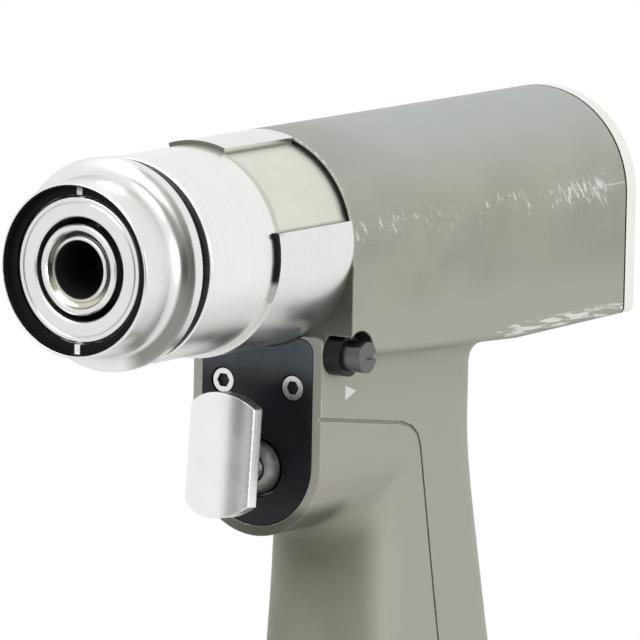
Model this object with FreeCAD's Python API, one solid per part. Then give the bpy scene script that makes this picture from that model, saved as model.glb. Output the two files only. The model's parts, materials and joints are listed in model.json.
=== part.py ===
"""Battery-powered surgical drill: pistol body, spindle nose with a pull-back collar, planetary drive.

Millimetres. The origin is the centre of the spindle's mouth, on the spindle axis.
+X runs back along the barrel, +Z is up, and -Y is the drill's left side.
"""
import FreeCAD, Part
import math
import os

V = FreeCAD.Vector
X_AXIS = V(1, 0, 0)
Y_AXIS = V(0, 1, 0)
Z_AXIS = V(0, 0, 1)
ORIGIN = V(0, 0, 0)

# Fits
running = 0.05            # radial clearance of a shaft turning in its bearing
sliding = 0.08            # radial clearance of a sleeve or stem that slides
free = 0.35               # clearance between pieces that move past each other
joint_gap = 0.2           # clearance of a fixed insert in its pocket
edge_break = 0.3          # small chamfer on turned edges

# Barrel of the main housing
barrel_radius = 22.0      # half the width, and the radius of the arched top
barrel_front = 65.3
barrel_rear = 171.3
belly_front = 23.0        # depth of the underside below the axis, at the front
belly_knee = 26.2         # and where the grip's rear meets it
belly_rear = 25.6
belly_knee_x = 130.0
belly_corner = 1.6
motor_bore = 17.5         # radius of the bore behind the nose spigot
wire_slot = (104.0, 116.0)      # opening from the motor bore down into the grip
wire_slot_half = 5.0

# Nose
socket_bore = 10.4        # ring-shaped space that takes an attachment's skirt
socket_ring_radius = 14.6
socket_groove_radius = 13.4
socket_groove_width = 0.3
spindle_radius = 9.1
spindle_bore = 5.75       # takes an attachment's shank
mouth_rim = 6.6           # outside of the thin rim round the bore
mouth_groove = 7.6        # outside of the groove round that rim
mouth_groove_depth = 1.0
spindle_bore_depth = 14.0
spindle_lip = 0.4         # the rim stands this far out of the mouth plane
collar_lip = 2.0          # the collar stands this far in front of the mouth plane
collar_radius = 17.5
collar_flare_start = 5.6
flange_radius = 21.4
flange_front = 9.3
flange_rear = 12.2
collar_travel = 3.0
index_outer = 17.0        # black ring inside the collar's lip
index_inner = 14.95
index_liner = 0.25        # its thin front part, which lines the lip
index_face = -0.2         # its flat front face
index_depth = 0.8         # and its rear face
neck_front = 13.3         # front of the neck that the collar slides over
neck_radius = 18.2
neck_seal_radius = 19.6
counterbore_radius = 20.1 # room inside the flange for the neck seal
sleeve_radius = 21.0
sleeve_front = 15.5
thread_radius = 16.9      # socket ring screwed into the nose sleeve
thread_front = 16.1
thread_end = 24.0
web_thickness = 1.0       # wall of the nose sleeve between the thread and the bearings
shaft_seal_front = 16.2
shaft_seal_radius = 13.0
shaft_seal_length = 4.3
shaft_seal_lip = 0.6      # depth of the hollow behind the lip
land_radius = barrel_radius
land_floor = 20.7
land_front = 40.4         # front of the windows and of the narrow land on top
wide_land_front = 38.9    # front of the wide land round the underside
land_slot = ((37.6, 5.2), (38.9, 5.2), (38.9, -9.0), (38.7, -9.0), (38.2, -3.0), (38.1, 4.0), (37.6, 4.3))
land_slot_floor = 19.6    # the slot's corners above, from the side, and its depth and filling
land_slot_fill = 21.7
land_top_half = 18.0      # half angle of the narrow land on top
land_window_end = 76.5    # angle from the top where the wide land begins
spigot_radius = 19.0
spigot_length = 5.0
gasket_radius = 21.4
gasket_depth = 1.5
lock_ball_radius = 1.7
lock_ball_x = 6.1
ball_count = 3
collar_spring_radius = 15.7
collar_spring_turns = 3

# Spindle bearings
bearing_outer = 14.0
bearing_seat = 8.5        # spindle radius inside the bearings
front_bearing_x = 25.0
rear_bearing_x = 36.0
bearing_width = 6.0
spacer_wall = 1.6

# Planetary gear
module = 0.75
sun_teeth = 12
planet_teeth = 15
ring_teeth = sun_teeth + 2 * planet_teeth
planet_count = 3
pressure_angle = math.radians(25.0)
backlash = 0.12
gear_x = 48.5
gear_width = 7.5
ring_gear_radius = 18.0
carrier_radius = 14.2
carrier_seat = 7.8        # spindle radius inside the carrier
carrier_width = 3.5
pin_radius = 1.8
cover_width = 2.0
end_play = 0.5

# Wire passage
wire_bore = 2.1
tube_radius = 2.45
passage_radius = 2.8
port_radius = 6.0
port_stand = 1.0
port_rim = 1.6            # width of the funnel round the tube's rear end
port_length = 10.0
tube_gap = 2.0            # from the floor of the spindle's bore to the tube
tube_sink = 0.6

# Motor
can_front = 71.0
can_length = 62.0
can_wall = 1.2
stator_inner = 10.5
magnet_radius = 10.0
magnet_length = 36.0
shaft_radius = 4.0
motor_bearing_radius = 9.0
motor_bearing_width = 4.5
can_front_wall = 1.5
can_edge = 0.8
hub_wall = 1.2
end_cap_width = 4.0
slot_count = 9
slot_half = 1.4
slot_inner = 11.7         # the stator's slots run between these radii
slot_outer = 15.0
winding_length = 4.0
winding_gap = 0.8         # between the winding ends and the core's inner and outer faces

# Controller board behind the motor
board_gap = 3.0
board_thickness = 1.6
board_post_radius = 1.6
board_post_orbit = 13.5
board_post_count = 3
chip_count = 6
chip_orbit = 10.5
chip_half_width = 2.2
chip_half_length = 1.8
chip_height = 1.8

# Rear cap
cap_length = 6.0
cap_edge = 2.4
cap_spigot = 5.0
cap_spigot_wall = 2.4
rear_gasket_width = 0.6
cap_screw_radius = 1.0
cap_screw_head = 1.9
cap_screw_head_height = 2.0
cap_screw_length = 12.0
cap_screw_sink = 0.4      # the heads lie this deep under the cap's face
cap_screw_rim = 2.9       # upper pair, from the barrel's round top
cap_screw_spread = 40.0   # and its angle from the top
cap_screw_inset = 5.0     # lower pair, from the cap's sides and underside

# Trigger boss and plate
boss_front = 64.0
boss_ledge = 6.3          # the boss and grip stand this far inside the barrel's sides
boss_half = barrel_radius - boss_ledge
boss_top = 19.5           # depth below the axis of the boss's top corners, beside the land
boss_root = 20.0          # behind the barrel's front face it runs up into the barrel
boss_round_z = -46.0
boss_rear = 108.0
plate_half = boss_half - 2.3
plate_thickness = 2.0
plate_top = 20.1
plate_corner = 3.0
screw_spacing = 17.0
screw_z = -30.3
screw_head = 2.5
screw_head_height = 1.3
screw_shank = 1.5
screw_length = 11.0
screw_seat = 1.5          # depth of the plate's counterbores
screw_seat_gap = 0.35

# Trigger
stem_z = -47.4
stem_radius = 2.8
stem_sink = 2.5           # how deep the stem is let into the blade
blade_half = 7.7
blade_thickness = 3.0
blade_rear = 54.8
blade_bow = 1.7           # how far the middle of the face stands in front of its sides
blade_height = 25.7
blade_z = -43.6
blade_crown = 11.7        # radius of the arched top and bottom edges
blade_hollow = 0.6        # bow of the blade's rear face
blade_tilt = 5.0          # degrees that the blade's foot stands forward
trigger_travel = 6.0
stem_end = 76.0
bush_wall = 3.2
spring_wire = 0.4
spring_outer = 2.1
spring_pocket = 3.0       # depth of the pocket in the stem's end
spring_turns = 4
switch_gap = 2.0          # left between a fully pressed stem and the switch
switch_length = 20.0
switch_half_height = 6.5
plunger_radius = 1.0
plunger_length = 4.0
switch_pins = (-6.0, 0.0, 6.0)
switch_pin_length = 5.0
switch_pin_half = (1.2, 2.0)

# Selector
selector_x = 68.4
selector_z = -23.0
selector_shaft = 1.75
selector_base = 4.3
selector_base_length = 3.9
selector_knob = 3.2
selector_knob_length = 4.3
selector_play = 0.05      # under each collar
scallop_radius = 5.2
pointer_half = 0.5        # slot cut in the knob's end as a pointer
pointer_depth = 0.8

# Grip sections: height, front, rear, half width, front and rear corner radius
grip_corner = boss_half - 0.5
neck_section = (-40.0, 84.0, 127.6, boss_half, grip_corner, 11.0)
grip_sections = (
    neck_section,
    (-46.0, 84.0, 127.8, boss_half, grip_corner, 11.0),
    (-62.0, 84.0, 130.6, boss_half, grip_corner, 11.0),
    (-78.0, 83.2, 134.4, boss_half, grip_corner, 11.0),
    (-94.0, 81.6, 138.4, boss_half, grip_corner, 11.0),
)
dock_half = barrel_radius
flare_sections = (
    grip_sections[-1],
    (-105.0, 79.0, 142.6, boss_half + 1.3, 14.0, 10.5),
    (-111.5, 76.0, 147.0, dock_half - 2.0, 10.5, 9.0),
)
grip_blend = 4.6          # hollow round where the grip meets the barrel
chin_blend = 7.0          # hollow round under the trigger boss
dock_z = -118.0
dock_front = 74.0
dock_rear = 150.0
dock_corner = 8.0
foot_height = 3.0
seam_width = 0.7
seam_depth = 0.5
seam_line = ((50.0, -33.7), (94.5, -40.0), (98.4, -41.3), (100.9, -43.2), (102.2, -46.0),
             (107.8, -74.1), (114.0, -104.0), (50.0, -104.0))
grip_wall = 3.7
cavity_half = boss_half - grip_wall
cavity_rear = 123.0
cavity_upper = (80.0, -34.0)    # front and top of the space behind the trigger
cavity_lower = (92.0, -54.2)    # front and top of the space down the grip

# Battery pack
dock_seal = 1.2
dock_seal_inset = 0.8
lid_thickness = 3.0
lid_screw_inset = 5.5
lid_screw_head = 1.5
lid_screw_head_height = 1.4
lid_screw_sink = 0.3
lid_screw_shank = 0.9
lid_screw_length = 7.0
pack_height = 44.0
pack_wall = 3.0
pack_edge = 2.5
cell_radius = 9.1
cell_length = 65.0
cell_gap = 0.2
cell_end_room = 0.8
strap_thickness = 0.5
strap_half = 13.1
strap_half_height = 3.5
tongue_front = 94.0
tongue_rear = 118.0
tongue_half = 9.0
tongue_height = 13.0
contact_count = 4
contact_pitch = 5.6
contact_blade = 0.8
contact_half = 3.0
contact_length = 7.0
contact_base = 5.5        # thickness of the block that carries the blades
terminal_slot = (1.3, 4.5)      # half width and half length of each slot in the tongue
terminal_thickness = 1.2
terminal_depth = 8.5      # floor of the slots below the tongue's top

# Heights and places that follow from the sizes above
motor_rear = can_front + can_length
magnet_front = can_front + (can_length - magnet_length) / 2.0
core_ends = (magnet_front - 1.0, magnet_front + magnet_length + 1.0)
carrier_x = gear_x - end_play - carrier_width
plate_x = gear_x + gear_width + end_play
cap_rear = barrel_rear + cap_length
switch_front = stem_end + trigger_travel + switch_gap
bush_radius = stem_radius + bush_wall
plate_screw_places = (-screw_spacing / 2.0, screw_spacing / 2.0)
lid_top = dock_z - dock_seal
tongue_top = lid_top + tongue_height
pack_top = lid_top - lid_thickness
pack_floor = pack_top - pack_height
pack_middle = (dock_front + dock_rear) / 2.0
tip_height = 0.9 * module
root_depth = 1.2 * module
sun_pitch = module * sun_teeth / 2.0
planet_pitch = module * planet_teeth / 2.0
planet_orbit = sun_pitch + planet_pitch
ball_land_end = lock_ball_x + lock_ball_radius + 0.1


def ring(x_start, x_end, inner, outer):
    """Tube along the spindle axis."""
    outside = Part.makeCylinder(outer, x_end - x_start, V(x_start, 0, 0), X_AXIS)
    if inner <= 0:
        return outside
    return outside.cut(Part.makeCylinder(inner, x_end - x_start, V(x_start, 0, 0), X_AXIS))


def rod(radius, start, end):
    """Round bar between two points."""
    direction = end.sub(start)
    return Part.makeCylinder(radius, direction.Length, start, direction)


def block(x_range, y_range, z_range):
    """Box between two limits on each axis."""
    size = (x_range[1] - x_range[0], y_range[1] - y_range[0], z_range[1] - z_range[0])
    return Part.makeBox(*size, V(x_range[0], y_range[0], z_range[0]))


def turned(outline):
    """Solid of revolution about the spindle axis, from (x, radius) points."""
    points = [V(x, 0, r) for x, r in outline]
    wire = Part.makePolygon(points + [points[0]])
    return Part.Face(wire).revolve(ORIGIN, X_AXIS, 360)


def around(solid, count, first=90.0):
    """Copies of a solid spread evenly about the spindle axis, the first at an angle from +Y."""
    copies = []
    for index in range(count):
        copy = solid.copy()
        copy.rotate(ORIGIN, X_AXIS, first + index * 360.0 / count)
        copies.append(copy)
    return copies


def polar(x, radius, degrees):
    """Point at an angle from +Y towards +Z about the spindle axis."""
    a = math.radians(degrees)
    return V(x, radius * math.cos(a), radius * math.sin(a))


def plan_outline(z, x_front, x_rear, half, front_corner, rear_corner):
    """Closed outline in a level plane: a rectangle with rounded corners."""
    m = 1 - math.sqrt(0.5)
    f, r = front_corner, rear_corner
    p = [V(x_front + f, -half, z), V(x_rear - r, -half, z), V(x_rear, -half + r, z), V(x_rear, half - r, z),
         V(x_rear - r, half, z), V(x_front + f, half, z), V(x_front, half - f, z), V(x_front, -half + f, z)]
    middle = [V(x_rear - m * r, -half + m * r, z), V(x_rear - m * r, half - m * r, z),
              V(x_front + m * f, half - m * f, z), V(x_front + m * f, -half + m * f, z)]
    edges = []
    for index in range(4):
        start = p[2 * index]
        end = p[2 * index + 1]
        after = p[(2 * index + 2) % 8]
        edges.append(Part.LineSegment(start, end).toShape())
        edges.append(Part.Arc(end, middle[index], after).toShape())
    return Part.Wire(edges)


def dock_outline(z, inset=0.0):
    """Outline shared by the grip's foot, its seal and the battery pack."""
    corner = dock_corner - inset
    return plan_outline(z, dock_front + inset, dock_rear - inset, dock_half - inset, corner, corner)


def arch_face(x, radius, bottom):
    """Barrel section: round top, straight sides, flat bottom."""
    edges = [
        Part.Arc(V(x, radius, 0), V(x, 0, radius), V(x, -radius, 0)).toShape(),
        Part.LineSegment(V(x, -radius, 0), V(x, -radius, -bottom)).toShape(),
        Part.LineSegment(V(x, -radius, -bottom), V(x, radius, -bottom)).toShape(),
        Part.LineSegment(V(x, radius, -bottom), V(x, radius, 0)).toShape(),
    ]
    return Part.Face(Part.Wire(edges))


def tongue_face(x, half, top, round_z, corner):
    """Trigger boss or plate outline: level top with round corners, half-round bottom."""
    k = corner * (1 - math.sqrt(0.5))
    edges = [
        Part.LineSegment(V(x, -half + corner, -top), V(x, half - corner, -top)).toShape(),
        Part.Arc(V(x, half - corner, -top), V(x, half - k, -top - k), V(x, half, -top - corner)).toShape(),
        Part.LineSegment(V(x, half, -top - corner), V(x, half, round_z)).toShape(),
        Part.Arc(V(x, half, round_z), V(x, 0, round_z - half), V(x, -half, round_z)).toShape(),
        Part.LineSegment(V(x, -half, round_z), V(x, -half, -top - corner)).toShape(),
        Part.Arc(V(x, -half, -top - corner), V(x, -half + k, -top - k), V(x, -half + corner, -top)).toShape(),
    ]
    return Part.Face(Part.Wire(edges))


def coil(x_start, x_end, radius, wire, turns, centre_z=0.0):
    """Compression spring along X, its wire drawn with eight sides."""
    height = x_end - x_start - 2 * wire
    path = Part.makeHelix(height / turns, height, radius)
    angles = [math.radians(45 * index) for index in range(9)]
    profile = Part.makePolygon([V(radius + wire * math.cos(a), 0, wire * math.sin(a)) for a in angles])
    spring = Part.Wire(path).makePipeShell([profile], True, True)
    spring.rotate(ORIGIN, Y_AXIS, 90)
    spring.translate(V(x_start + wire, 0, centre_z))
    return spring


def socket_screw(head, head_height, shank, length):
    """Cap screw that points along +X from the top face of its head at the origin."""
    screw = Part.makeCylinder(head, head_height, ORIGIN, X_AXIS)
    screw = screw.fuse(Part.makeCylinder(shank, length, V(head_height, 0, 0), X_AXIS))
    corner = head * 0.62
    points = [polar(0, corner, 60 * index) for index in range(7)]
    return screw.cut(Part.Face(Part.makePolygon(points)).extrude(V(head_height * 0.6, 0, 0)))


def placed(solid, x, y, z):
    """Moved copy of a solid."""
    copy = solid.copy()
    copy.translate(V(x, y, z))
    return copy


# Gears

def tooth_half_angle(radius, teeth, space):
    """Half the angle that an involute tooth covers at a radius; space thickens a ring's tooth spaces."""
    pitch_radius = module * teeth / 2.0
    base = pitch_radius * math.cos(pressure_angle)
    alpha = math.acos(min(1.0, base / max(radius, base)))
    widening = backlash if space else -backlash
    half_pitch = math.pi / (2 * teeth) + widening / (2 * pitch_radius)
    return half_pitch + (math.tan(pressure_angle) - pressure_angle) - (math.tan(alpha) - alpha)


def gear_face(x, teeth, tip_height, root_depth, phase, space=False):
    """Outline of an involute gear; phase is the angle in degrees of one tooth's middle."""
    pitch_radius = module * teeth / 2.0
    base = pitch_radius * math.cos(pressure_angle)
    root = pitch_radius - root_depth
    tip = pitch_radius + tip_height
    flank = [max(root, base)]
    flank += [pitch_radius, (pitch_radius + tip) / 2.0, tip]
    points = []
    for index in range(teeth):
        middle = math.radians(phase) + 2 * math.pi * index / teeth
        radii = ([root] if root < base else []) + flank
        rising = [(r, middle - tooth_half_angle(r, teeth, space)) for r in radii]
        falling = [(r, 2 * middle - a) for r, a in reversed(rising)]
        points += rising + falling
    corners = [V(x, r * math.cos(a), r * math.sin(a)) for r, a in points]
    return Part.Face(Part.makePolygon(corners + [corners[0]]))


def planet_angle(index):
    """Direction of a planet's centre, in degrees from +Y towards +Z."""
    return 90.0 + 360.0 / planet_count * index


def ring_gear():
    spaces = gear_face(gear_x, ring_teeth, root_depth, tip_height, 180.0 / ring_teeth, space=True)
    return ring(gear_x, gear_x + gear_width, 0, ring_gear_radius).cut(spaces.extrude(V(gear_width, 0, 0)))


def planet_gear(index):
    angle = planet_angle(index)
    phase = angle + 180.0 - 180.0 / planet_teeth
    gear = gear_face(0, planet_teeth, tip_height, root_depth, phase).extrude(V(gear_width, 0, 0))
    gear = gear.cut(Part.makeCylinder(pin_radius + running, gear_width, ORIGIN, X_AXIS))
    centre = polar(gear_x, planet_orbit, angle)
    return placed(gear, centre.x, centre.y, centre.z)


# Nose

def release_collar():
    spring_room = thread_radius - 0.4
    ball_room = spring_room - 0.6
    waist = collar_radius + edge_break
    outline = [
        (-collar_lip, index_outer), (-collar_lip, collar_radius - edge_break),
        (-collar_lip + edge_break, collar_radius), (collar_flare_start, waist),
    ]
    run = flange_front - collar_flare_start
    steps = 6
    for index in range(1, steps):
        a = math.radians(90.0 * index / (steps - 1))
        rise = (flange_radius - waist) * (1 - math.cos(a))
        outline.append((collar_flare_start + run * math.sin(a), waist + rise))
    ball_front = lock_ball_x - lock_ball_radius - 0.1
    guide = socket_ring_radius + sliding
    counterbore = neck_front - collar_travel - free
    outline += [
        (flange_rear - edge_break, flange_radius), (flange_rear, flange_radius - edge_break),
        (flange_rear, counterbore_radius), (counterbore, counterbore_radius), (counterbore, spring_room),
        (ball_land_end, spring_room), (ball_land_end, guide), (ball_front, guide), (ball_front, ball_room),
        (index_depth, ball_room), (index_depth, index_outer),
    ]
    return turned(outline)


def index_ring():
    liner = index_outer - index_liner
    return turned([
        (-collar_lip + running, index_outer), (-collar_lip + running, liner), (index_face, liner),
        (index_face, index_inner), (index_depth, index_inner), (index_depth, index_outer),
    ])


def socket_ring():
    body = turned([
        (0, socket_bore + edge_break), (edge_break, socket_bore), (shaft_seal_front, socket_bore),
        (shaft_seal_front, shaft_seal_radius), (thread_end, shaft_seal_radius), (thread_end, thread_radius),
        (thread_front, thread_radius), (thread_front, socket_ring_radius),
        (edge_break, socket_ring_radius), (0, socket_ring_radius - edge_break),
    ])
    groove = ring(0, socket_groove_width, socket_groove_radius - socket_groove_width / 2,
                  socket_groove_radius + socket_groove_width / 2)
    hole = rod(lock_ball_radius + 0.1, V(lock_ball_x, socket_bore - 1, 0),
               V(lock_ball_x, socket_ring_radius + 1, 0))
    body = body.cut(groove)
    for cutter in around(hole, ball_count):
        body = body.cut(cutter)
    return body


def lock_balls():
    reach = (socket_bore + socket_ring_radius) / 2.0
    return around(Part.makeSphere(lock_ball_radius, V(lock_ball_x, reach, 0)), ball_count)


def collar_spring():
    return coil(ball_land_end + 0.05, thread_front, collar_spring_radius, spring_wire, collar_spring_turns)


def neck_seal():
    return turned([
        (neck_front, neck_radius), (neck_front, neck_seal_radius - edge_break),
        (neck_front + edge_break, neck_seal_radius), (sleeve_front, neck_seal_radius),
        (sleeve_front, neck_radius),
    ])


def spindle_seal():
    inner = spindle_radius + sliding
    rear = shaft_seal_front + shaft_seal_length
    return turned([
        (shaft_seal_front, inner), (shaft_seal_front, shaft_seal_radius), (rear, shaft_seal_radius),
        (rear, inner),
        (shaft_seal_front + shaft_seal_length / 2, inner + shaft_seal_lip),
    ])


def slot_prism(side, inner, outer):
    """The tapered slot beside the window on one side, between two radii."""
    points = [V(x, 0, z) for x, z in land_slot]
    prism = Part.Face(Part.makePolygon(points + [points[0]])).extrude(V(0, side * 2 * land_radius, 0))
    ends = [x for x, z in land_slot]
    return prism.common(ring(min(ends) - 1, max(ends) + 1, inner, outer))


def slot_seals():
    return [slot_prism(side, land_slot_floor, land_slot_fill) for side in (-1, 1)]


def nose_sleeve():
    web = thread_end + web_thickness
    web_bore = (spindle_radius + bearing_outer) / 2.0
    chamber_front = rear_bearing_x + bearing_width
    chamber_end = barrel_front + spigot_length
    body = turned([
        (neck_front, thread_radius), (neck_front, neck_radius), (sleeve_front, neck_radius),
        (sleeve_front, sleeve_radius - edge_break), (sleeve_front + edge_break, sleeve_radius),
        (wide_land_front, sleeve_radius), (wide_land_front, spigot_radius), (chamber_end, spigot_radius),
        (chamber_end, ring_gear_radius), (chamber_front, ring_gear_radius), (chamber_front, bearing_outer),
        (web, bearing_outer), (web, web_bore), (thread_end, web_bore), (thread_end, thread_radius),
    ])
    for side in (-1, 1):
        body = body.cut(slot_prism(side, land_slot_floor, land_radius + 1))
    return body


def wedge(start, end, x_start, x_end):
    """Sector about the spindle axis between two angles from the top, opening towards -Y."""
    reach = 3 * land_radius
    steps = 8
    points = [V(x_start, 0, 0)]
    for index in range(steps + 1):
        a = math.radians(start + (end - start) * index / steps)
        points.append(V(x_start, -reach * math.sin(a), reach * math.cos(a)))
    return Part.Face(Part.makePolygon(points + [points[0]])).extrude(V(x_end - x_start, 0, 0))


def land_ring():
    body = ring(wide_land_front, barrel_front, spigot_radius, land_radius)
    collar = ring(wide_land_front, land_front, sleeve_radius, land_radius + 1)
    upper = wedge(-land_window_end, land_window_end, wide_land_front - 1, land_front + 1)
    body = body.cut(collar.common(upper))
    shell = ring(land_front, barrel_front, land_floor, land_radius + 1)
    for side in (1, -1):
        start, end = sorted((side * land_top_half, side * land_window_end))
        body = body.cut(shell.common(wedge(start, end, land_front - 1, barrel_front + 1)))
    return body


def nose_gasket():
    return ring(barrel_front, barrel_front + gasket_depth, spigot_radius, gasket_radius)


def spindle():
    rear = carrier_x + carrier_width
    bevel = edge_break / 2
    return turned([
        (-spindle_lip, mouth_groove + edge_break), (-spindle_lip, spindle_radius - edge_break),
        (-spindle_lip + edge_break, spindle_radius), (front_bearing_x, spindle_radius),
        (front_bearing_x, bearing_seat), (carrier_x, bearing_seat), (carrier_x, carrier_seat),
        (rear, carrier_seat), (rear, passage_radius), (spindle_bore_depth, passage_radius),
        (spindle_bore_depth, spindle_bore), (bevel, spindle_bore), (0, spindle_bore + bevel),
        (0, mouth_rim - bevel), (bevel, mouth_rim), (mouth_groove_depth, mouth_rim),
        (mouth_groove_depth, mouth_groove), (0, mouth_groove),
    ])


def bearing(x):
    return ring(x, x + bearing_width, bearing_seat + running, bearing_outer)


def bearing_spacer():
    return ring(front_bearing_x + bearing_width, rear_bearing_x, bearing_outer - spacer_wall, bearing_outer)


def planet_pins():
    pin = rod(pin_radius, V(carrier_x, planet_orbit, 0), V(plate_x + cover_width, planet_orbit, 0))
    return around(pin, planet_count)


def carrier_plate(x, width, inner):
    plate = ring(x, x + width, inner, carrier_radius)
    for pin in planet_pins():
        plate = plate.cut(pin)
    return plate


# Motor

def rotor_shaft():
    shaft_front = plate_x + cover_width + end_play
    pinion = gear_face(gear_x, sun_teeth, tip_height, root_depth, 0).extrude(V(gear_width, 0, 0))
    neck = ring(gear_x + gear_width, shaft_front, 0, sun_pitch - root_depth)
    shaft = ring(shaft_front, motor_rear, 0, shaft_radius)
    body = pinion.fuse(neck).fuse(shaft)
    return body.cut(Part.makeCylinder(passage_radius, 2 * motor_rear, ORIGIN, X_AXIS))


def rotor_magnet():
    return ring(magnet_front, magnet_front + magnet_length, shaft_radius, magnet_radius)


def motor_bearings():
    inner = shaft_radius + running
    front_x = can_front + can_front_wall
    front = ring(front_x, front_x + motor_bearing_width, inner, motor_bearing_radius)
    rear = ring(motor_rear - motor_bearing_width, motor_rear, inner, motor_bearing_radius)
    return [front, rear]


def motor_can():
    inside = motor_bore - can_wall
    wall = can_front + can_front_wall
    hub = wall + motor_bearing_width
    hub_radius = motor_bearing_radius + hub_wall
    hole = shaft_radius + 1.0
    return turned([
        (can_front, hole), (can_front, motor_bore - can_edge), (can_front + can_edge, motor_bore),
        (motor_rear, motor_bore), (motor_rear, inside), (wall, inside), (wall, hub_radius), (hub, hub_radius),
        (hub, motor_bearing_radius), (wall, motor_bearing_radius), (wall, hole),
    ])


def stator_core():
    core = ring(*core_ends, stator_inner, motor_bore - can_wall)
    slot = block(core_ends, (slot_inner, slot_outer), (-slot_half, slot_half))
    for cutter in around(slot, slot_count, first=0.0):
        core = core.cut(cutter)
    return core


def stator_windings():
    inner = stator_inner + winding_gap
    outer = motor_bore - can_wall - winding_gap
    front, rear = core_ends
    windings = [(front - winding_length, front), (rear, rear + winding_length)]
    return [ring(*ends, inner, outer) for ends in windings]


def motor_end_cap():
    inside = motor_bore - can_wall
    seat = motor_rear - motor_bearing_width
    back = motor_rear + end_cap_width
    hole = shaft_radius + free
    return turned([
        (seat, motor_bearing_radius), (seat, inside), (motor_rear, inside), (motor_rear, motor_bore),
        (back, motor_bore), (back, hole), (motor_rear, hole), (motor_rear, motor_bearing_radius),
    ])


def cannula_tube():
    return ring(spindle_bore_depth + tube_gap, cap_rear + port_stand - tube_sink, wire_bore, tube_radius)


def controller_board():
    foot = motor_rear + end_cap_width
    front = foot + board_gap
    rear = front + board_thickness
    body = ring(front, rear, tube_radius + 1.0, motor_bore - joint_gap)
    post = rod(board_post_radius, V(foot, board_post_orbit, 0), V(front, board_post_orbit, 0))
    chip = block((rear, rear + chip_height), (chip_orbit - chip_half_width, chip_orbit + chip_half_width),
                 (-chip_half_length, chip_half_length))
    return body.fuse(around(post, board_post_count) + around(chip, chip_count))


# Housing

def barrel_solid(x_start, x_end):
    """Barrel or cap blank: arched section with a sloping underside, its lower corners still sharp."""
    arch = arch_face(x_start, barrel_radius, 2 * belly_knee).extrude(V(x_end - x_start, 0, 0))
    top = barrel_radius + 5
    side = [V(barrel_front, 0, top), V(barrel_front, 0, -belly_front), V(belly_knee_x, 0, -belly_knee),
            V(barrel_rear, 0, -belly_rear), V(cap_rear, 0, -belly_rear), V(cap_rear, 0, top)]
    profile = Part.Face(Part.makePolygon(side + [side[0]])).extrude(V(0, 3 * barrel_radius, 0))
    profile.translate(V(0, -1.5 * barrel_radius, 0))
    return arch.common(profile)


def round_belly(solid):
    """Round the two lower edges that run along the barrel."""
    edges = []
    for edge in solid.Edges:
        box = edge.BoundBox
        outside = min(abs(box.YMin), abs(box.YMax)) > barrel_radius - 0.01
        along = box.XLength > 10 * box.YLength and box.XLength > 0.3
        if outside and along and box.ZMax < -belly_front + 0.05:
            edges.append(edge)
    return solid.makeFillet(belly_corner, edges)


def chin_web():
    """Hollow round between the underside of the trigger boss and the front of the grip."""
    front, corner = neck_section[1], neck_section[4]
    overlap = 1.5
    wires = []
    for step in range(-3, 4):
        y = corner * math.sin(math.radians(step * 25.0))
        size = chin_blend * math.cos(math.radians(step * 25.0))
        x = front + corner - math.sqrt(corner * corner - y * y)
        z = boss_round_z - math.sqrt(boss_half * boss_half - y * y)
        bend = size * (1 - math.sqrt(0.5))
        a, b = V(x - size, y, z), V(x, y, z - size)
        wires.append(Part.Wire([
            Part.Arc(a, V(x - bend, y, z - bend), b).toShape(),
            Part.LineSegment(b, V(x + overlap, y, z + overlap)).toShape(),
            Part.LineSegment(V(x + overlap, y, z + overlap), a).toShape(),
        ]))
    return Part.makeLoft(wires, True, False)


def boss_block(x_start, x_end, top, corner):
    """Length of the trigger boss."""
    return tongue_face(x_start, boss_half, top, boss_round_z, corner).extrude(V(x_end - x_start, 0, 0))


def land_room(end):
    """Space under the wide land, which the tops of the boss and its plate keep clear of."""
    return ring(boss_front - 1, end, 0, land_radius + free)


def housing_blank():
    """Barrel, trigger boss and grip as one casting, before it is bored."""
    neck = Part.Face(plan_outline(*neck_section)).extrude(V(0, 0, -neck_section[0] - boss_root))
    body = barrel_solid(barrel_front, barrel_rear)
    body = body.fuse([neck, boss_block(barrel_front, boss_rear, boss_root, 0.5)]).removeSplitter()
    edges = []
    for edge in body.Edges:
        box = edge.BoundBox
        beside_grip = max(abs(box.YMin), abs(box.YMax)) < boss_half + 0.05 and box.XMax < neck_section[2] + 0.1
        under_barrel = box.ZMin > -belly_knee and box.ZMax < -belly_front + 0.05 and box.DiagonalLength > 4
        behind_front = box.XMin > barrel_front - 0.05 and box.XMax > barrel_front + 1
        if beside_grip and under_barrel and behind_front:
            edges.append(edge)
    body = round_belly(body.makeFillet(grip_blend, edges))
    grip = Part.makeLoft([plan_outline(*section) for section in grip_sections], True, False)
    flare = [plan_outline(*section) for section in flare_sections]
    flare = Part.makeLoft(flare + [dock_outline(dock_z + foot_height)], True, False)
    foot = Part.Face(dock_outline(dock_z)).extrude(V(0, 0, foot_height))
    face = boss_block(boss_front, barrel_front, boss_top, 2.0).cut(land_room(barrel_front))
    return body.fuse([grip, flare, foot, face]).fuse(chin_web()).removeSplitter()


def seam_cutter():
    """Groove that outlines the front shell of the grip, on both sides."""
    line = [V(x, -dock_half, z) for x, z in seam_line]
    outer = Part.Face(Part.makePolygon(line + [line[0]]))
    strip = outer.cut(outer.makeOffset2D(-seam_width)).extrude(V(0, 2 * dock_half, 0))
    core = boss_half - seam_depth
    return strip.cut(block((seam_line[0][0] - 1, dock_rear), (-core, core), (dock_z, 0)))


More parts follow.
